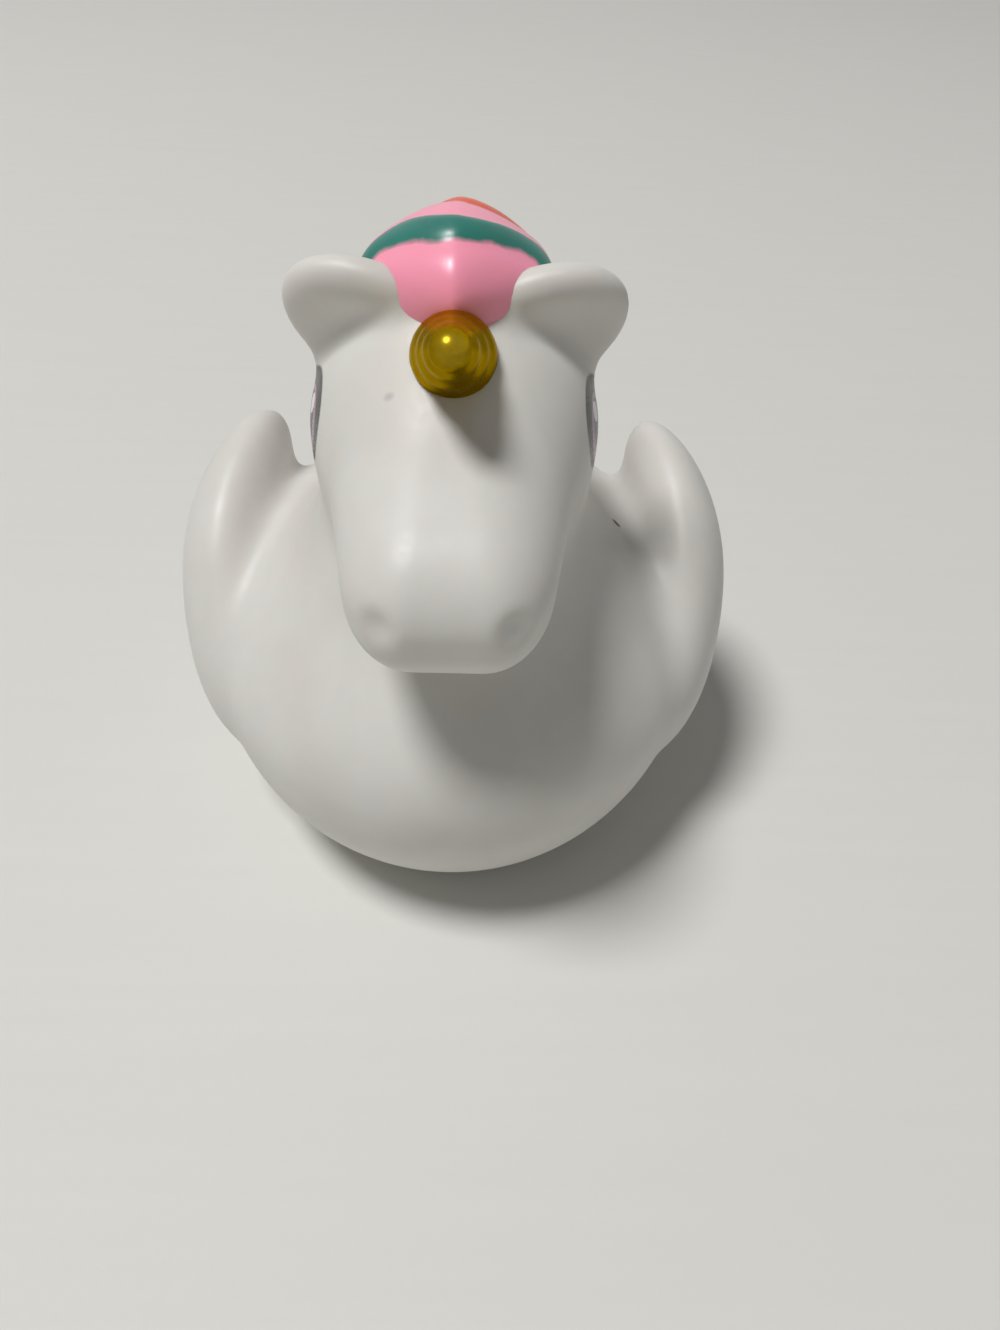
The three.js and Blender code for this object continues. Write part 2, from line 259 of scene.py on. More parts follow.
class DuckFinish(bpy.types.PropertyGroup):
    """Colours of the vinyl and the paints"""

    vinyl: colour("Vinyl", "White vinyl", "DAD8D3")
    vinyl_shade: colour("Vinyl shade", "Slightly greyer vinyl of the mottling", "D3D0CA")
    pink: colour("Pink", "Gloss paint of the mane", "FF9CB6")
    teal: colour("Teal", "Gloss paint of every other lock", "0C7468")
    orange: colour("Orange", "Gloss paint of the locks between", "E0562E")
    gold: colour("Gold", "Metal paint of the horn", "A3861C")
    eye_rim: colour("Eye rim", "Dark outer oval of each eye", "3F3D3B")
    eye_iris: colour("Eye iris", "Lilac middle of each eye", "A98AA8")
    eye_light: colour("Eye light", "Pale spot in each eye", "F2E6EC")
    speck: colour("Speck", "Dark speck on the shoulder", "3A2622")
    scuff: colour("Scuff", "Faint grey scuff on the forehead", "8E8A86")


class DuckStage(bpy.types.PropertyGroup):
    """Floor, lights and camera"""

    floor: colour("Floor", "Pale floor", "DFDED9")
    floor_size: size("Floor size", "Floor from side to side", 6000)
    key_power: FloatProperty(
        name="Key power", description="Soft lamp overhead", default=27.0, min=0, unit="POWER",
    )
    key_size: size("Key size", "Width of the lamp overhead", 520)
    fill: portion("Fill", "Light from all round", 0.155)
    backdrop: portion("Backdrop", "Brightness of what lies beyond the floor", 0.72)
    lens: FloatProperty(name="Lens", description="Focal length", default=36 * 1000 / 1330, unit="CAMERA")
    pitch: turn("Pitch", "Camera downwards from level", 45)
    yaw: turn("Yaw", "Camera towards the duck's left", 2.4)
    roll: turn("Roll", "Camera about its own axis", -3)
    place: FloatVectorProperty(
        name="Camera place", description="Where the camera stands",
        default=(2.7 * MM, -127.2 * MM, 143 * MM), unit="LENGTH", subtype="TRANSLATION",
    )


class DuckSettings(bpy.types.PropertyGroup):
    """All that a user may change"""

    body: PointerProperty(type=DuckBody)
    wing: PointerProperty(type=DuckWing)
    head: PointerProperty(type=DuckHead)
    ear: PointerProperty(type=DuckEar)
    mane: PointerProperty(type=DuckMane)
    horn: PointerProperty(type=DuckHorn)
    finish: PointerProperty(type=DuckFinish)
    stage: PointerProperty(type=DuckStage)


# Field tools
def blend_between(a, b, share):
    """From a to b by a share"""
    return a + (b - a) * share


def ease(low, high, value):
    """Smooth step from nought at low to one at high"""
    share = np.clip((value - low) / (high - low), 0, 1)
    return share * share * (3 - 2 * share)


def ellipsoid(x, y, z, rx, ry, rz):
    """Near distance to an ellipsoid at the origin"""
    reach = np.sqrt((x / rx) ** 2 + (y / ry) ** 2 + (z / rz) ** 2 + 1e-12)
    slope = np.sqrt((x / rx ** 2) ** 2 + (y / ry ** 2) ** 2 + (z / rz ** 2) ** 2 + 1e-12)
    return reach * (reach - 1) / slope


def taper(x, y, z, foot, tip, foot_radius, tip_radius):
    """Near distance to a round bar between two points"""
    axis = tip - foot
    px, py, pz = x - foot.x, y - foot.y, z - foot.z
    share = np.clip((px * axis.x + py * axis.y + pz * axis.z) / axis.length_squared, 0, 1)
    away = np.sqrt((px - share * axis.x) ** 2 + (py - share * axis.y) ** 2 + (pz - share * axis.z) ** 2)
    return away - blend_between(foot_radius, tip_radius, share)


def soft_union(a, b, blend):
    """Two forms run into each other"""
    overlap = np.maximum(blend - abs(a - b), 0) / blend
    return np.minimum(a, b) - overlap * overlap * blend / 4


def soft_common(a, b, blend):
    """What two forms share, with its edge rounded"""
    return -soft_union(-a, -b, blend)


def soft_cut(form, tool, blend):
    """A form with another taken out, with the edge rounded"""
    return soft_common(form, -tool, blend)


# Forms of the moulding
def skull_middle(duck):
    """Middle of the skull"""
    return Vector((0, -duck.head.forward, duck.body.height + duck.head.lift))


def body_field(duck, x, y, z):
    """Hull that is rounded above and fuller below"""
    body = duck.body
    depth = body.middle / math.sqrt(1 - (body.base_width / body.width) ** 2)
    rise = np.where(z > body.middle, body.height - body.middle, depth)
    return ellipsoid(x, y - body.back, z - body.middle, body.width / 2, body.length / 2, rise)


def tail_field(duck, x, y, z):
    """Short upturned tail, wider than it is thick"""
    body = duck.body
    rump = body.back + body.length / 2
    root = Vector((0, rump - body.tail_root, body.middle + body.tail_tip))
    tip = Vector((0, rump + body.tail_reach, body.middle + body.tail_rise))
    return taper(x * body.tail_flatness, y, z, root, tip, body.tail_root, body.tail_tip)


def wing_field(duck, x, y, z):
    """Thick leaves on the flanks with both ends hooked in"""
    wing = duck.wing
    dy = y - duck.body.back - wing.back
    dz = z - duck.body.middle - wing.rise
    rise, run = math.sin(wing.slope), math.cos(wing.slope)
    along = dy * run + dz * rise
    across = dz * run - dy * rise
    share = np.clip(2 * along / wing.length, -1, 1)
    hook = np.where(share > 0, wing.hook, wing.foot_hook)
    out = abs(x) - duck.body.width / 2 + wing.inset + hook * share * share
    return ellipsoid(out, along, across, wing.thickness / 2, wing.length / 2, wing.chord / 2)


def face_field(duck, x, y, z):
    """A soft wedge from the cheeks to the flat front of the muzzle"""
    head = duck.head
    skull = skull_middle(duck)
    length = math.hypot(head.muzzle_reach, head.muzzle_drop)
    run, fall = head.muzzle_reach / length, head.muzzle_drop / length
    ahead, up = skull.y - y, z - skull.z
    along = ahead * run - up * fall
    rise = ahead * fall + up * run
    share = np.clip(along / length, 0, 1)
    cheek = head.width / 2 - head.cheek_inset
    corner = blend_between(cheek, head.muzzle_round, share)
    dx = abs(x) - blend_between(cheek, head.muzzle_width / 2, share) + corner
    dz = abs(rise) - blend_between(cheek, head.muzzle_height / 2, share) + corner
    dy = abs(along - length / 2) - length / 2 + corner
    outside = np.sqrt(np.maximum(dx, 0) ** 2 + np.maximum(dy, 0) ** 2 + np.maximum(dz, 0) ** 2)
    return outside + np.minimum(np.maximum(np.maximum(dx, dy), dz), 0) - corner


def head_field(duck, x, y, z):
    """Skull and face on a short neck"""
    head = duck.head
    skull = skull_middle(duck)
    foot = Vector((0, -head.neck_forward, duck.body.height - head.neck_sink))
    cheek = head.width / 2 - head.cheek_inset
    cranium = ellipsoid(x, y - skull.y, z - skull.z, head.width / 2, head.length / 2, head.height / 2)
    neck = taper(x, y, z, foot, skull, head.neck_radius, cheek - head.cheek_inset)
    face = soft_union(cranium, face_field(duck, x, y, z), head.face_blend)
    return soft_union(face, neck, head.face_blend)


def nostril_field(duck, x, y, z):
    """Shallow dents sunk from the front of the muzzle"""
    head = duck.head
    skull = skull_middle(duck)
    nx = head.nostril_spacing / 2
    nz = skull.z - head.muzzle_drop + head.nostril_rise
    ny = skull.y - head.muzzle_reach - head.muzzle_height
    for _ in range(NOSTRIL_ROUNDS):
        ny += float(head_field(duck, nx, ny, nz))
    ny += head.nostril_depth - head.nostril_radius
    return np.sqrt((abs(x) - nx) ** 2 + (y - ny) ** 2 + (z - nz) ** 2) - head.nostril_radius


def ear_field(duck, x, y, z):
    """Cupped leaves that lean out from the crown"""
    ear, head = duck.ear, duck.head
    up = Vector((math.sin(ear.lean), math.sin(ear.sweep), math.cos(ear.lean))).normalized()
    across = Vector((math.cos(ear.turned), math.sin(ear.turned), 0))
    across = (across - up * across.dot(up)).normalized()
    front = across.cross(up)
    root = Vector((head.width / 2 * math.sin(ear.spread), 0, head.height / 2 * math.cos(ear.spread)))
    middle = skull_middle(duck) + root + up * (ear.length / 2 - ear.sink)
    px, py, pz = abs(x) - middle.x, y - middle.y, z - middle.z
    a, b, c = (px * axis.x + py * axis.y + pz * axis.z for axis in (up, across, front))
    half = (ear.length / 2, ear.width / 2, ear.thickness / 2)
    leaf = ellipsoid(a, b, c, *half)
    cup = ellipsoid(a, b, c - half[2], half[0] - ear.cup_margin, half[1] - ear.cup_margin, ear.cup_depth)
    return soft_cut(leaf, cup, ear.cup_blend)


def skin_field(duck, x, y, z):
    """The white moulding: every form but the mane and the horn, cut flat below"""
    y = y + duck.body.centring
    form = soft_union(body_field(duck, x, y, z), head_field(duck, x, y, z), duck.head.neck_blend)
    form = soft_union(form, tail_field(duck, x, y, z), duck.body.tail_blend)
    form = soft_union(form, wing_field(duck, x, y, z), duck.wing.blend)
    form = soft_union(form, ear_field(duck, x, y, z), duck.ear.blend)
    form = soft_cut(form, nostril_field(duck, x, y, z), duck.head.nostril_blend)
    form = soft_common(form, -z, BASE_ROUND)
    hole = np.maximum(np.sqrt(x * x + y * y) - duck.body.hole / 2, z - duck.body.hole_depth)
    return soft_cut(form, hole, HOLE_ROUND)


def mane_place(duck, x, y, z):
    """Angle over the crown, distance from the middle of the skull, and the count of locks up to there"""
    skull, mane = skull_middle(duck), duck.mane
    back, up = y + duck.body.centring - skull.y, z - skull.z
    angle = np.arctan2(up, -back)
    angle = np.where(angle < -math.pi / 2, angle + 2 * math.pi, angle)
    scale = np.sqrt((back / (duck.head.length / 2)) ** 2 + (up / (duck.head.height / 2)) ** 2 + 1e-12)
    radius = np.sqrt(back * back + up * up)
    locks = (angle - mane.first_lock) / mane.lock_spacing
    sway = mane.sway * (1 + MANE_SWAYS * np.clip(locks, 0, 1)) / mane.lock_spacing
    swayed = sway * np.cos(2 * math.pi * (x - mane.drift * locks) / mane.wave)
    return angle, radius, radius / scale, locks + swayed


def lock_edges(duck, locks, first):
    """Signed reach to the painted part of every other lock, negative inside, in locks"""
    width = duck.mane.lock_width
    folded = (locks - first - width / 2 + 1) % 2 - 1
    hidden = np.maximum(LOCKS_BEGIN - locks, 0)
    return abs(folded) - width / 2 + LOCKS_FADE * hidden


def mane_field(duck, x, y, z):
    """A peaked crest from the horn to the nape, grooved between its locks"""
    mane = duck.mane
    angle, radius, scalp, locks = mane_place(duck, x, y, z)
    share = np.clip((angle - mane.start) / (mane.end - mane.start), 0, 1)
    grown = np.clip(share / MANE_GROWS, 0, 1)
    full = np.sqrt(grown * (2 - grown)) * (1 - ease(MANE_THINS, 1, share))
    swell = blend_between(MANE_ENDS, 1, full)
    half = mane.width / 2 * swell ** MANE_BROADENS
    side = np.minimum(abs(x) / half, MANE_OVERHANG)
    crest = blend_between(mane.height, mane.edge, side ** MANE_PEAK)
    groove = np.where(locks > GROOVES_BEGIN, (1 - abs(np.sin(math.pi * locks))) ** 2, 0)
    edges = [lock_edges(duck, locks, first) for first in (0, 1)]
    raised = sum(1 - ease(-RELIEF_EDGE, RELIEF_EDGE, edge) for edge in edges)
    crest = swell * (crest - mane.groove * groove + mane.relief * raised)
    lock = soft_common(radius - scalp - crest, abs(x) - half, mane.round)
    ends = radius * np.maximum(mane.start - angle, angle - mane.end)
    return np.maximum(np.maximum(lock, ends), scalp - mane.root - radius)


# Surface of a field
CORNERS = [np.array((i, j, k)) for k in (0, 1) for j in (0, 1) for i in (0, 1)]
EDGES = [(a, a | bit) for a in range(8) for bit in (1, 2, 4) if not a & bit]
FILLED = -1e-7


def is_split(corners):
    """Whether a cell's corners fall into groups that meet only across a diagonal"""
    met = list(corners[:1])
    for corner in met:
        met += [c for c in (corner ^ 1, corner ^ 2, corner ^ 4) if c in corners and c not in met]
    return len(met) < len(corners)


def split_codes():
    """Which of the 256 corner patterns would tear or pinch the surface"""
    table = np.zeros(256, bool)
    for code in range(256):
        inside = [c for c in range(8) if code >> c & 1]
        outside = [c for c in range(8) if not code >> c & 1]
        table[code] = is_split(inside) or is_split(outside)
    return table


def corner_codes(values):
    """Pattern of inside corners for each cell"""
    nx, ny, nz = (n - 1 for n in values.shape)
    codes = np.zeros((nx, ny, nz), np.uint8)
    for bit, (i, j, k) in enumerate(CORNERS):
        codes |= (values[i:i + nx, j:j + ny, k:k + nz] < 0).astype(np.uint8) << bit
    return codes


def close_diagonals(values):
    """Fill the nearest corner of each cell that would tear"""
    table = split_codes()
    codes = corner_codes(values)
    while table[codes].any():
        for cell in np.argwhere(table[codes]):
            places = [tuple(cell + corner) for corner in CORNERS]
            empty = [place for place in places if values[place] >= 0]
            values[min(empty, key=lambda place: values[place])] = FILLED
        codes = corner_codes(values)
    return codes


def settled(field, points, limit):
    """Points moved onto the surface along the slope, no further than a limit"""
    x, y, z = points.T
    value = field(x, y, z)
    slope = np.stack([field(x + SLOPE_DAB, y, z), field(x, y + SLOPE_DAB, z), field(x, y, z + SLOPE_DAB)])
    slope = (slope - value) / SLOPE_DAB
    move = np.clip(-value / np.maximum((slope ** 2).sum(0), 0.1), -limit, limit)
    return points + (move * slope).T


def relaxed(field, points, quads, limit):
    """Points evened out over the surface"""
    edges = np.concatenate([quads[:, [i, (i + 1) % 4]] for i in range(4)])
    a, b = np.unique(np.sort(edges, axis=1), axis=0).T
    count = len(points)
    degree = np.bincount(a, minlength=count) + np.bincount(b, minlength=count)
    for _ in range(RELAX_ROUNDS):
        total = [np.bincount(a, p[b], count) + np.bincount(b, p[a], count) for p in points.T]
        middle = np.stack(total, axis=1) / degree[:, None]
        points = settled(field, (points + middle) / 2, limit)
    return points


def surface_of(field, low, high, step):
    """Points and quads of a field's surface inside a box: one point in each cell that it crosses"""
    axes = [np.arange(a - 2 * step, b + 3 * step, step) for a, b in zip(low, high)]
    values = field(*np.meshgrid(*axes, indexing="ij"))
    codes = close_diagonals(values)
    cells = np.argwhere((codes > 0) & (codes < 255))
    total = np.zeros((len(cells), 3))
    count = np.zeros((len(cells), 1))
    for first, second in EDGES:
        a, b = CORNERS[first], CORNERS[second]
        va, vb = values[tuple((cells + a).T)], values[tuple((cells + b).T)]
        crosses = (va < 0) != (vb < 0)
        share = np.where(crosses, va / np.where(crosses, va - vb, 1), 0)
        total += crosses[:, None] * (a + share[:, None] * (b - a))
        count += crosses[:, None]
    points = np.array([axis[0] for axis in axes]) + step * (cells + total / count)

    index = np.zeros(codes.shape, int)
    index[tuple(cells.T)] = np.arange(len(cells))
    inside = values < 0
    quads = []
    for axis in range(3):
        u, v = (np.eye(3, dtype=int)[(axis + i) % 3] for i in (1, 2))
        starts = np.argwhere(np.diff(inside.astype(np.int8), axis=axis))
        ring = [index[tuple((starts - shift).T)] for shift in (u + v, v, 0 * u, u)]
        ring = np.stack(ring, axis=1)
        leaving = inside[tuple(starts.T)]
        quads.append(np.where(leaving[:, None], ring, ring[:, ::-1]))
    quads = np.concatenate(quads)
    points = settled(field, points, step / 2)
    return relaxed(field, points, quads, step / 2), quads


def finished(name, mesh, material):
    """An object for a mesh, shaded smooth, that stands for the moulding and rides with it"""
    mesh.materials.clear()
    mesh.materials.append(material)
    mesh.shade_smooth()
    piece = bpy.data.objects.new(name, mesh)
    bpy.context.collection.objects.link(piece)
    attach(piece, BODY)
    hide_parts(NODE)
    return piece


def mesh_of(name, points, quads):
    """A mesh from points and quads"""
    mesh = bpy.data.meshes.new(name)
    mesh.from_pydata(points.tolist(), [], quads.tolist())
    if mesh.validate():
        raise RuntimeError(f"{name}: the surface has faulty faces")
    return mesh


# Node tools
def node(tree, kind, settings=None, **inputs):
    """A node with its settings, and its inputs given by name as values or sockets"""
    made = tree.nodes.new(kind)
    for key, value in (settings or {}).items():
        setattr(made, key, value)
    for key, value in inputs.items():
        plug(tree, made.inputs[key.replace("_", " ")], value)
    return made


def plug(tree, socket, value):
    """Give a socket a value, or join it to another socket"""
    if isinstance(value, bpy.types.NodeSocket):
        tree.links.new(value, socket)
    else:
        socket.default_value = value


def sum_of(tree, operation, *values, clamp=False):
    """Output of a math node"""
    made = tree.nodes.new("ShaderNodeMath")
    made.operation = operation
    made.use_clamp = clamp
    for socket, value in zip(made.inputs, values):
        plug(tree, socket, value)
    return made.outputs[0]


def vector_sum(tree, operation, *values):
    """Output of a vector math node"""
    made = tree.nodes.new("ShaderNodeVectorMath")
    made.operation = operation
    for socket, value in zip(made.inputs, values):
        plug(tree, socket, value)
    return made.outputs["Value" if operation == "LENGTH" else "Vector"]


def noise(tree, place, scale, detail=2.0, roughness=0.5):
    """Soft noise between nought and one"""
    made = node(tree, "ShaderNodeTexNoise", Vector=place, Scale=scale, Detail=detail, Roughness=roughness)
    return made.outputs[0]


def ramp(tree, value, low, high, start=0.0, end=1.0):
    """A value run from start to end while it goes from low to high"""
    made = tree.nodes.new("ShaderNodeMapRange")
    for socket, part in zip(made.inputs, (value, low, high, start, end)):
        plug(tree, socket, part)
    return made.outputs[0]


def tint(tree, share, under, over):
    """One colour over another by a share"""
    made = tree.nodes.new("ShaderNodeMix")
    made.data_type = "RGBA"
    factor, first, second = (made.inputs[i] for i in (0, 6, 7))
    plug(tree, factor, share)
    for socket, value in ((first, under), (second, over)):
        plug(tree, socket, value if isinstance(value, bpy.types.NodeSocket) else (*value, 1))
    return made.outputs[2]


def bumped(tree, height, strength, distance):
    """A normal from a height"""
    made = node(tree, "ShaderNodeBump", Strength=strength, Distance=distance, Height=height)
    return made.outputs[0]


def seen_or_mirrored(tree):
    """One for rays from the camera, straight, mirrored or through glass, and nought for light"""
    rays = tree.nodes.new("ShaderNodeLightPath").outputs
    seen = sum_of(tree, "ADD", rays["Is Camera Ray"], rays["Is Glossy Ray"])
    return sum_of(tree, "ADD", seen, rays["Is Transmission Ray"], clamp=True)


def blank_material(name):
    """A material with only a principled shader, its tree and its place"""
    material = bpy.data.materials.new(name)
    material.use_nodes = True
    tree = material.node_tree
    tree.nodes.clear()
    output = tree.nodes.new("ShaderNodeOutputMaterial")
    shader = tree.nodes.new("ShaderNodeBsdfPrincipled")
    tree.links.new(shader.outputs[0], output.inputs[0])
    place = tree.nodes.new("ShaderNodeTexCoord").outputs["Object"]
    return material, tree, shader, place


def spot(tree, place, middle, radii, softness):
    """One inside an oval and nought outside, with a soft edge"""
    moved = vector_sum(tree, "SUBTRACT", place, middle)
    reach = vector_sum(tree, "LENGTH", vector_sum(tree, "DIVIDE", moved, radii))
    return ramp(tree, reach, 1 + softness, 1 - softness)


# Ovals of the eye, as middle and radii in millimetres on the duck's right and left alike
EYE_OVALS = (
    ("eye_rim", (17.2, -14.9, 75.0), (6, 5.4, 6.0)),
    ("eye_iris", (17.2, -15.0, 74.4), (6, 3.6, 4.4)),
    ("eye_rim", (17.2, -15.0, 74.9), (6, 2.5, 3.3)),
    ("eye_light", (17.2, -15.6, 76.9), (6, 1.1, 1.3)),
)
EYE_EDGE = 0.03
SPECK_PLACE = (24.5, -3.7, 50.7)
SPECK_RADII = (0.9, 0.55, 0.9)
SCUFF_PLACE = (-7.0, -26.0, 83.8)
SCUFF_RADII = (0.6, 0.45, 0.6)


def scaled(numbers):
    """Millimetres to metres"""
    return tuple(number * MM for number in numbers)


def vinyl_material(finish):
    """White satin vinyl with printed eyes, a speck and a scuff"""
    material, tree, shader, place = blank_material("white_vinyl")
    broad = noise(tree, place, VINYL_CLOUDS, 3)
    fine = noise(tree, place, VINYL_PORES, 3)
    grain = noise(tree, place, VINYL_GRAIN, 2)
    skin = tint(tree, ramp(tree, broad, 0.35, 0.7), finish.vinyl, finish.vinyl_shade)

    axes = node(tree, "ShaderNodeSeparateXYZ", Vector=place).outputs
    across = sum_of(tree, "ABSOLUTE", axes[0])
    mirrored = node(tree, "ShaderNodeCombineXYZ", X=across, Y=axes[1], Z=axes[2])
    print_mask = 0.0
    for name, middle, radii in EYE_OVALS:
        oval = spot(tree, mirrored.outputs[0], scaled(middle), scaled(radii), EYE_EDGE)
        skin = tint(tree, oval, skin, getattr(finish, name))
        print_mask = sum_of(tree, "MAXIMUM", print_mask, oval)

    speck = spot(tree, place, scaled(SPECK_PLACE), scaled(SPECK_RADII), 0.25)
    scuff = spot(tree, place, scaled(SCUFF_PLACE), scaled(SCUFF_RADII), 0.6)
    skin = tint(tree, speck, skin, finish.speck)
    skin = tint(tree, sum_of(tree, "MULTIPLY", scuff, 0.55), skin, finish.scuff)
    plug(tree, shader.inputs["Base Color"], skin)

    pored = ramp(tree, fine, 0.3, 0.7, 0.42, 0.5)
    clouded = ramp(tree, broad, 0.3, 0.7, -0.03, 0.03)
    rough = sum_of(tree, "ADD", pored, clouded)
    rough = sum_of(tree, "SUBTRACT", rough, sum_of(tree, "MULTIPLY", print_mask, 0.18))
    plug(tree, shader.inputs["Roughness"], rough)
    pores = sum_of(tree, "MULTIPLY", fine, 0.7)
    height = sum_of(tree, "ADD", pores, sum_of(tree, "MULTIPLY", grain, 0.3))
    height = sum_of(tree, "SUBTRACT", height, sum_of(tree, "MULTIPLY", scuff, 2.0))
    plug(tree, shader.inputs["Normal"], bumped(tree, height, 0.25, 0.05 * MM))
    shader.inputs["Subsurface Weight"].default_value = 0.35
    shader.inputs["Subsurface Radius"].default_value = (1.0, 0.62, 0.48)
    shader.inputs["Subsurface Scale"].default_value = 2.2 * MM
    return material


def mane_material(finish):
    """Gloss paint in three colours with slightly uneven edges"""
    material, tree, shader, place = blank_material("mane_paint")
    uneven = ramp(tree, noise(tree, place, PAINT_EDGES, 2), 0, 1, -0.035, 0.035)
    streaks = noise(tree, place, PAINT_STREAKS, 3)
    fine = noise(tree, place, PAINT_PEEL, 2)
    paint = tint(tree, ramp(tree, streaks, 0.35, 0.7), finish.pink, [c * 0.985 for c in finish.pink])
    edge = 0.0
    for name in ("teal", "orange"):
        reach = node(tree, "ShaderNodeAttribute", {"attribute_name": name}).outputs["Fac"]
        mask = ramp(tree, sum_of(tree, "ADD", reach, uneven), 0.025, -0.025)
        shade = getattr(finish, name)
        shaded = tint(tree, ramp(tree, streaks, 0.35, 0.7), shade, [c * 0.9 for c in shade])
        paint = tint(tree, mask, paint, shaded)
        edge = sum_of(tree, "MAXIMUM", edge, mask)
    plug(tree, shader.inputs["Base Color"], paint)
    plug(tree, shader.inputs["Roughness"], ramp(tree, fine, 0.3, 0.7, 0.3, 0.38))
    height = sum_of(tree, "ADD", sum_of(tree, "MULTIPLY", fine, 0.08), edge)
    plug(tree, shader.inputs["Normal"], bumped(tree, height, 0.2, 0.05 * MM))
    shader.inputs["Coat Weight"].default_value = 0.12
    shader.inputs["Coat Roughness"].default_value = 0.34
    shader.inputs["Subsurface Weight"].default_value = 0.12
    shader.inputs["Subsurface Radius"].default_value = (1.0, 0.5, 0.5)
    shader.inputs["Subsurface Scale"].default_value = 1.2 * MM
    return material


def horn_material(finish):
    """Gold metal paint with fine flakes"""
    material, tree, shader, place = blank_material("horn_gold")
    cloud = noise(tree, place, GOLD_CLOUDS, 3)
    flake = noise(tree, place, GOLD_FLAKES, 2)
    worn = [c * 0.6 for c in finish.gold]
    gold = tint(tree, ramp(tree, cloud, 0.35, 0.75), finish.gold, worn)
    bright = [min(c * 1.25, 1) for c in finish.gold]
    gold = tint(tree, ramp(tree, flake, 0.55, 0.75, 0, 0.5), gold, bright)
    plug(tree, shader.inputs["Base Color"], gold)
    shader.inputs["Metallic"].default_value = 1
    shader.inputs["Specular Tint"].default_value = (0.9, 0.72, 0.25, 1)
    plug(tree, shader.inputs["Roughness"], ramp(tree, cloud, 0.3, 0.7, 0.24, 0.36))
    plug(tree, shader.inputs["Normal"], bumped(tree, flake, 0.25, 0.02 * MM))
    return material


def floor_material(stage):
    """Pale board with a faint grain"""
    material, tree, shader, place = blank_material("pale_floor")
    drawn_out = node(tree, "ShaderNodeMapping", Vector=place, Scale=(3, 60, 1)).outputs[0]
    board = noise(tree, drawn_out, FLOOR_BOARDS, 4)
    fine = noise(tree, place, FLOOR_GRAIN, 3)
    base = stage.floor
    pale = tint(tree, ramp(tree, board, 0.3, 0.7), base, [c * 0.985 for c in base])
    plug(tree, shader.inputs["Base Color"], pale)
    plug(tree, shader.inputs["Roughness"], ramp(tree, fine, 0.3, 0.7, 0.55, 0.65))
    plug(tree, shader.inputs["Normal"], bumped(tree, fine, 0.15, 0.1 * MM))
    shader.inputs["Specular IOR Level"].default_value = 0.25

    away = ramp(tree, vector_sum(tree, "LENGTH", place), FLOOR_FADES, FLOOR_FADED)
    glow = node(tree, "ShaderNodeEmission", Strength=stage.backdrop)
    fade = tree.nodes.new("ShaderNodeMixShader")
    parts = (sum_of(tree, "MULTIPLY", away, seen_or_mirrored(tree)), shader.outputs[0], glow.outputs[0])
    for socket, part in zip(fade.inputs, parts):
        plug(tree, socket, part)
    tree.links.new(fade.outputs[0], tree.nodes["Material Output"].inputs[0])
    return material


# Horn: a line of points from foot to tip, closer towards the tip, swept by a circle
HORN_INPUTS = (
    ("Length", "Float"), ("Base Radius", "Float"), ("Tip Radius", "Float"), ("Sink", "Float"),
    ("Rings", "Int"), ("Ring Depth", "Float"), ("Seat", "Vector"), ("Axis", "Vector"),
    ("Points", "Int"), ("Sides", "Int"), ("Material", "Material"),
)


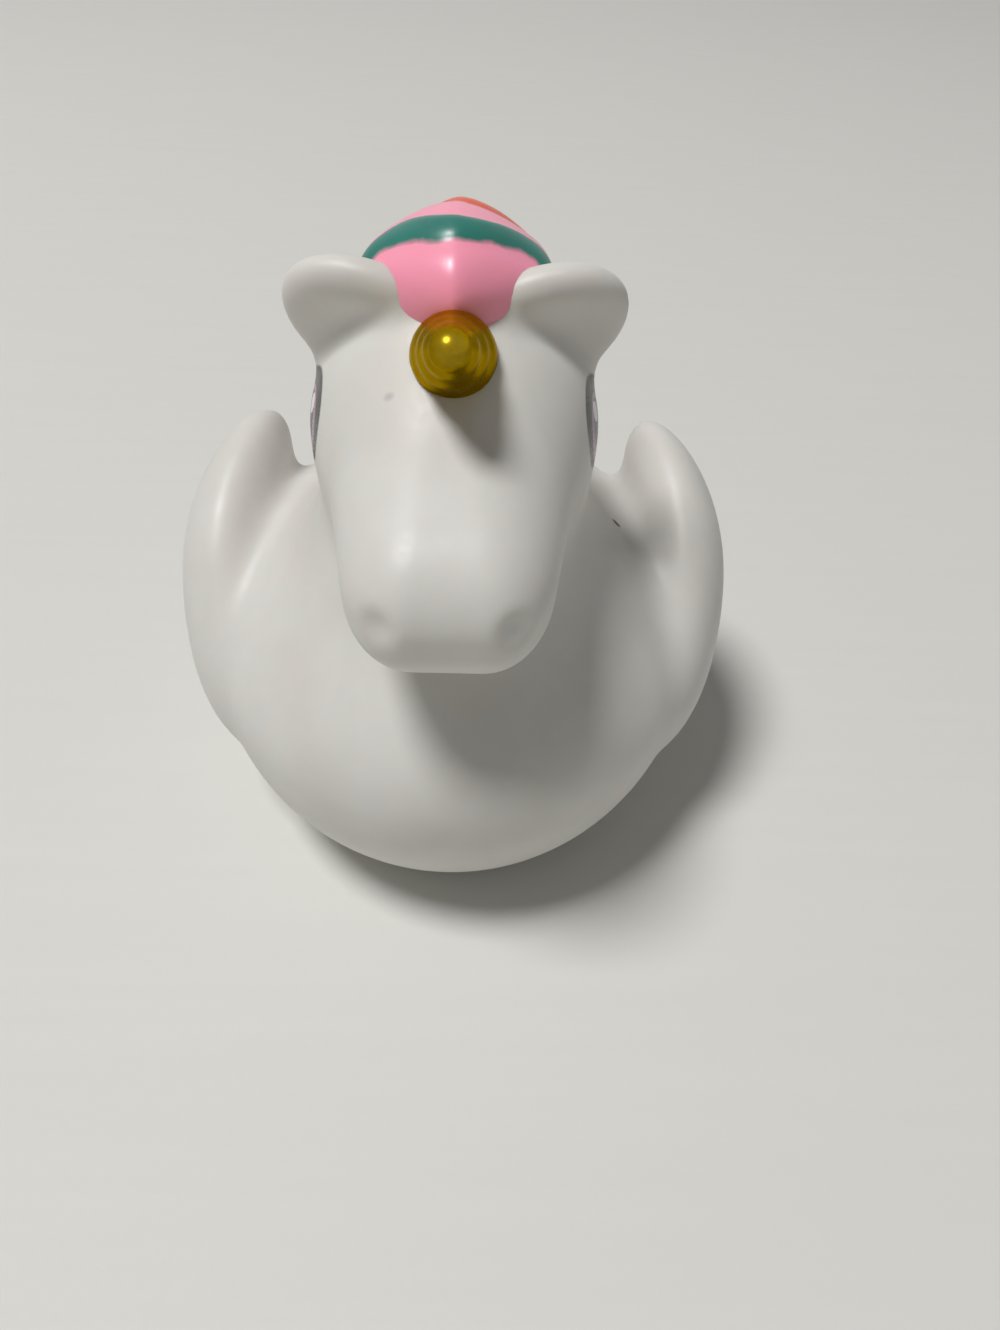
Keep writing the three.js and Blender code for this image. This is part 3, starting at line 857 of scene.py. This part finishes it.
def horn_tree():
    """Geometry nodes for a blunt ringed horn"""
    tree = bpy.data.node_groups.new("ringed_horn", "GeometryNodeTree")
    tree.interface.new_socket(name="Horn", in_out="OUTPUT", socket_type="NodeSocketGeometry")
    for name, kind in HORN_INPUTS:
        tree.interface.new_socket(name=name, in_out="INPUT", socket_type=f"NodeSocket{kind}")
    given = tree.nodes.new("NodeGroupInput").outputs

    def calc(operation, *values, clamp=False):
        return sum_of(tree, operation, *values, clamp=clamp)

    last = calc("SUBTRACT", given["Points"], 1)
    left = calc("SUBTRACT", 1, calc("DIVIDE", tree.nodes.new("GeometryNodeInputIndex").outputs[0], last))
    share = calc("SUBTRACT", 1, calc("MULTIPLY", left, left))
    whole = calc("ADD", given["Length"], given["Sink"])
    along = calc("SUBTRACT", calc("MULTIPLY", share, whole), given["Sink"])
    place = vector_sum(tree, "SCALE", given["Axis"])
    plug(tree, place.node.inputs["Scale"], along)
    place = vector_sum(tree, "ADD", given["Seat"], place)

    rise = calc("SUBTRACT", given["Length"], given["Tip Radius"])
    climbed = calc("DIVIDE", along, rise, clamp=True)
    narrowing = calc("SUBTRACT", given["Tip Radius"], given["Base Radius"])
    cone = calc("MULTIPLY_ADD", narrowing, climbed, given["Base Radius"])
    swing = calc("COSINE", calc("MULTIPLY", calc("MULTIPLY", climbed, given["Rings"]), 2 * math.pi))
    hollow = calc("MULTIPLY_ADD", swing, 0.5, 0.5)
    ringed = calc("SUBTRACT", cone, calc("MULTIPLY", given["Ring Depth"], hollow))
    past = calc("DIVIDE", calc("SUBTRACT", along, rise), given["Tip Radius"], clamp=True)
    cap = calc("SQRT", calc("SUBTRACT", 1, calc("MULTIPLY", past, past)))
    radius = calc("MULTIPLY", ringed, cap)

    line = node(tree, "GeometryNodeCurvePrimitiveLine")
    points = node(tree, "GeometryNodeResampleCurve", Curve=line.outputs[0], Count=given["Points"])
    placed = node(tree, "GeometryNodeSetPosition", Geometry=points.outputs[0], Position=place)
    circle = node(tree, "GeometryNodeCurvePrimitiveCircle", Resolution=given["Sides"], Radius=1.0)
    swept = node(tree, "GeometryNodeCurveToMesh", Curve=placed.outputs[0], Scale=radius, Fill_Caps=True)
    plug(tree, swept.inputs["Profile Curve"], circle.outputs[0])
    merged = node(tree, "GeometryNodeMergeByDistance", Geometry=swept.outputs[0], Distance=0.001 * MM)
    whole_horn = node(tree, "GeometryNodeRealizeInstances", Geometry=merged.outputs[0])
    painted = node(tree, "GeometryNodeSetMaterial", Geometry=whole_horn.outputs[0])
    plug(tree, painted.inputs["Material"], given["Material"])
    output = tree.nodes.new("NodeGroupOutput")
    tree.links.new(painted.outputs[0], output.inputs[0])
    return tree


class DUCK_OT_skin(bpy.types.Operator):
    """Make the white vinyl moulding: body, wings, tail, head and ears"""

    bl_idname = "duck.skin"
    bl_label = "Vinyl skin"

    def execute(self, context):
        duck = context.scene.duck

        def field(x, y, z):
            return skin_field(duck, x, y, z)

        points, quads = surface_of(field, cad_low, cad_high, SKIN_STEP)
        finished("skin", mesh_of("skin", points, quads), vinyl_material(duck.finish))
        return {"FINISHED"}


class DUCK_OT_mane(bpy.types.Operator):
    """Make the painted mane, rooted in the skull"""

    bl_idname = "duck.mane"
    bl_label = "Mane"

    def execute(self, context):
        duck = context.scene.duck

        def field(x, y, z):
            return mane_field(duck, x, y, z)

        reach = max(duck.head.length, duck.head.height) / 2 + duck.mane.height + 2 * duck.mane.relief
        skull = skull_middle(duck) - Vector((0, duck.body.centring, 0))
        low = skull - Vector((duck.mane.width / 2, reach, reach))
        high = skull + Vector((duck.mane.width / 2, reach, reach))
        points, quads = surface_of(field, low, high, MANE_STEP)
        mesh = mesh_of("mane", points, quads)
        locks = mane_place(duck, *points.T)[3]
        for first, name in enumerate(("teal", "orange")):
            reach_to = mesh.attributes.new(name, "FLOAT", "POINT")
            reach_to.data.foreach_set("value", lock_edges(duck, locks, first))
        finished("mane", mesh, mane_material(duck.finish))
        return {"FINISHED"}


class DUCK_OT_horn(bpy.types.Operator):
    """Make the gold horn on the forehead"""

    bl_idname = "duck.horn"
    bl_label = "Horn"

    def execute(self, context):
        duck = context.scene.duck
        horn, head = duck.horn, duck.head
        forward, up = head.length / 2 * math.cos(horn.seat), head.height / 2 * math.sin(horn.seat)
        seat = skull_middle(duck) + Vector((0, -forward - duck.body.centring, up))
        material = horn_material(duck.finish)
        given = {
            "Length": horn.length, "Base Radius": horn.base_radius, "Tip Radius": horn.tip_radius,
            "Sink": horn.sink, "Rings": horn.rings, "Ring Depth": horn.ring_depth, "Seat": seat,
            "Axis": (0, -math.cos(horn.lift), math.sin(horn.lift)),
            "Points": HORN_POINTS, "Sides": HORN_SIDES, "Material": material,
        }
        maker = bpy.data.objects.new("horn_maker", bpy.data.meshes.new("horn_maker"))
        context.collection.objects.link(maker)
        modifier = maker.modifiers.new("ringed_horn", "NODES")
        modifier.node_group = horn_tree()
        for socket in modifier.node_group.interface.items_tree:
            if socket.in_out == "INPUT":
                modifier[socket.identifier] = given[socket.name]
        made = maker.evaluated_get(context.evaluated_depsgraph_get())
        mesh = bpy.data.meshes.new_from_object(made)
        bpy.data.objects.remove(maker)
        if not mesh.polygons:
            raise RuntimeError("horn: the node tree gave no faces")
        mesh.name = "horn"
        finished("horn", mesh, material)
        return {"FINISHED"}


class DUCK_OT_stage(bpy.types.Operator):
    """Make the pale floor, the soft light and the camera"""

    bl_idname = "duck.stage"
    bl_label = "Stage"

    def execute(self, context):
        stage = context.scene.duck.stage
        self.make_floor(context, stage)
        self.make_light(context, stage)
        self.make_camera(context, stage)
        context.scene.view_settings.view_transform = "Standard"
        return {"FINISHED"}

    def make_floor(self, context, stage):
        """A flat sheet under the base"""
        mesh = bpy.data.meshes.new("floor")
        sheet = bmesh.new()
        bmesh.ops.create_grid(sheet, x_segments=1, y_segments=1, size=stage.floor_size / 2)
        sheet.to_mesh(mesh)
        sheet.free()
        mesh.materials.append(floor_material(stage))
        floor = bpy.data.objects.new("floor", mesh)
        context.collection.objects.link(floor)

    def make_light(self, context, stage):
        """A soft lamp overhead, and a world that fills the shadows"""
        lamp = bpy.data.lights.new("key", "AREA")
        lamp.shape = "DISK"
        lamp.size = stage.key_size
        lamp.energy = stage.key_power
        key = bpy.data.objects.new("key", lamp)
        key.location = KEY_PLACE
        aim = Vector(KEY_AIM) - Vector(KEY_PLACE)
        key.rotation_euler = aim.to_track_quat("-Z", "Y").to_euler()
        context.collection.objects.link(key)

        world = bpy.data.worlds.new("studio")
        world.use_nodes = True
        tree = world.node_tree
        tree.nodes.clear()
        level = ramp(tree, seen_or_mirrored(tree), 0, 1, stage.fill, stage.backdrop)
        sky = node(tree, "ShaderNodeBackground", Strength=level)
        sky.inputs["Color"].default_value = (1, 1, 0.98, 1)
        output = tree.nodes.new("ShaderNodeOutputWorld")
        tree.links.new(sky.outputs[0], output.inputs[0])
        context.scene.world = world

    def make_camera(self, context, stage):
        """The camera at the place the photograph was taken from"""
        pitch, yaw, roll = stage.pitch, stage.yaw, stage.roll
        ahead = Vector((
            math.sin(yaw) * math.cos(pitch), math.cos(yaw) * math.cos(pitch), -math.sin(pitch),
        ))
        level = Vector((math.cos(yaw), -math.sin(yaw), 0))
        down = ahead.cross(level)
        right = level * math.cos(roll) + down * math.sin(roll)
        up = level * math.sin(roll) - down * math.cos(roll)
        data = bpy.data.cameras.new("camera")
        data.lens = stage.lens
        data.sensor_width = 36
        data.sensor_fit = "AUTO"
        data.clip_start = 0.005
        camera = bpy.data.objects.new("camera", data)
        turned = Matrix((right, up, -ahead)).transposed().to_4x4()
        camera.matrix_world = Matrix.Translation(stage.place) @ turned
        context.collection.objects.link(camera)
        context.scene.camera = camera


class VIEW3D_PT_duck(bpy.types.Panel):
    """Pieces of the duck and their settings"""

    bl_label = "Bath duck"
    bl_space_type = "VIEW_3D"
    bl_region_type = "UI"
    bl_category = "Duck"

    def draw(self, context):
        for operator in PIECES:
            self.layout.operator(operator.bl_idname)
        for group in ("body", "wing", "head", "ear", "mane", "horn", "finish", "stage"):
            box = self.layout.box()
            box.label(text=group.capitalize())
            settings = getattr(context.scene.duck, group)
            for name in settings.__annotations__:
                box.prop(settings, name)


GROUPS = (
    DuckBody, DuckWing, DuckHead, DuckEar, DuckMane, DuckHorn, DuckFinish, DuckStage, DuckSettings,
)
PIECES = (DUCK_OT_skin, DUCK_OT_mane, DUCK_OT_horn, DUCK_OT_stage)


def register():
    for made in (*GROUPS, *PIECES, VIEW3D_PT_duck):
        bpy.utils.register_class(made)
    bpy.types.Scene.duck = PointerProperty(type=DuckSettings)


def unregister():
    del bpy.types.Scene.duck
    for made in (VIEW3D_PT_duck, *reversed(PIECES), *reversed(GROUPS)):
        bpy.utils.unregister_class(made)


def main():
    register()
    bpy.ops.duck.stage()
    bpy.ops.duck.skin()
    bpy.ops.duck.mane()
    bpy.ops.duck.horn()


if __name__ == "__main__":
    main()
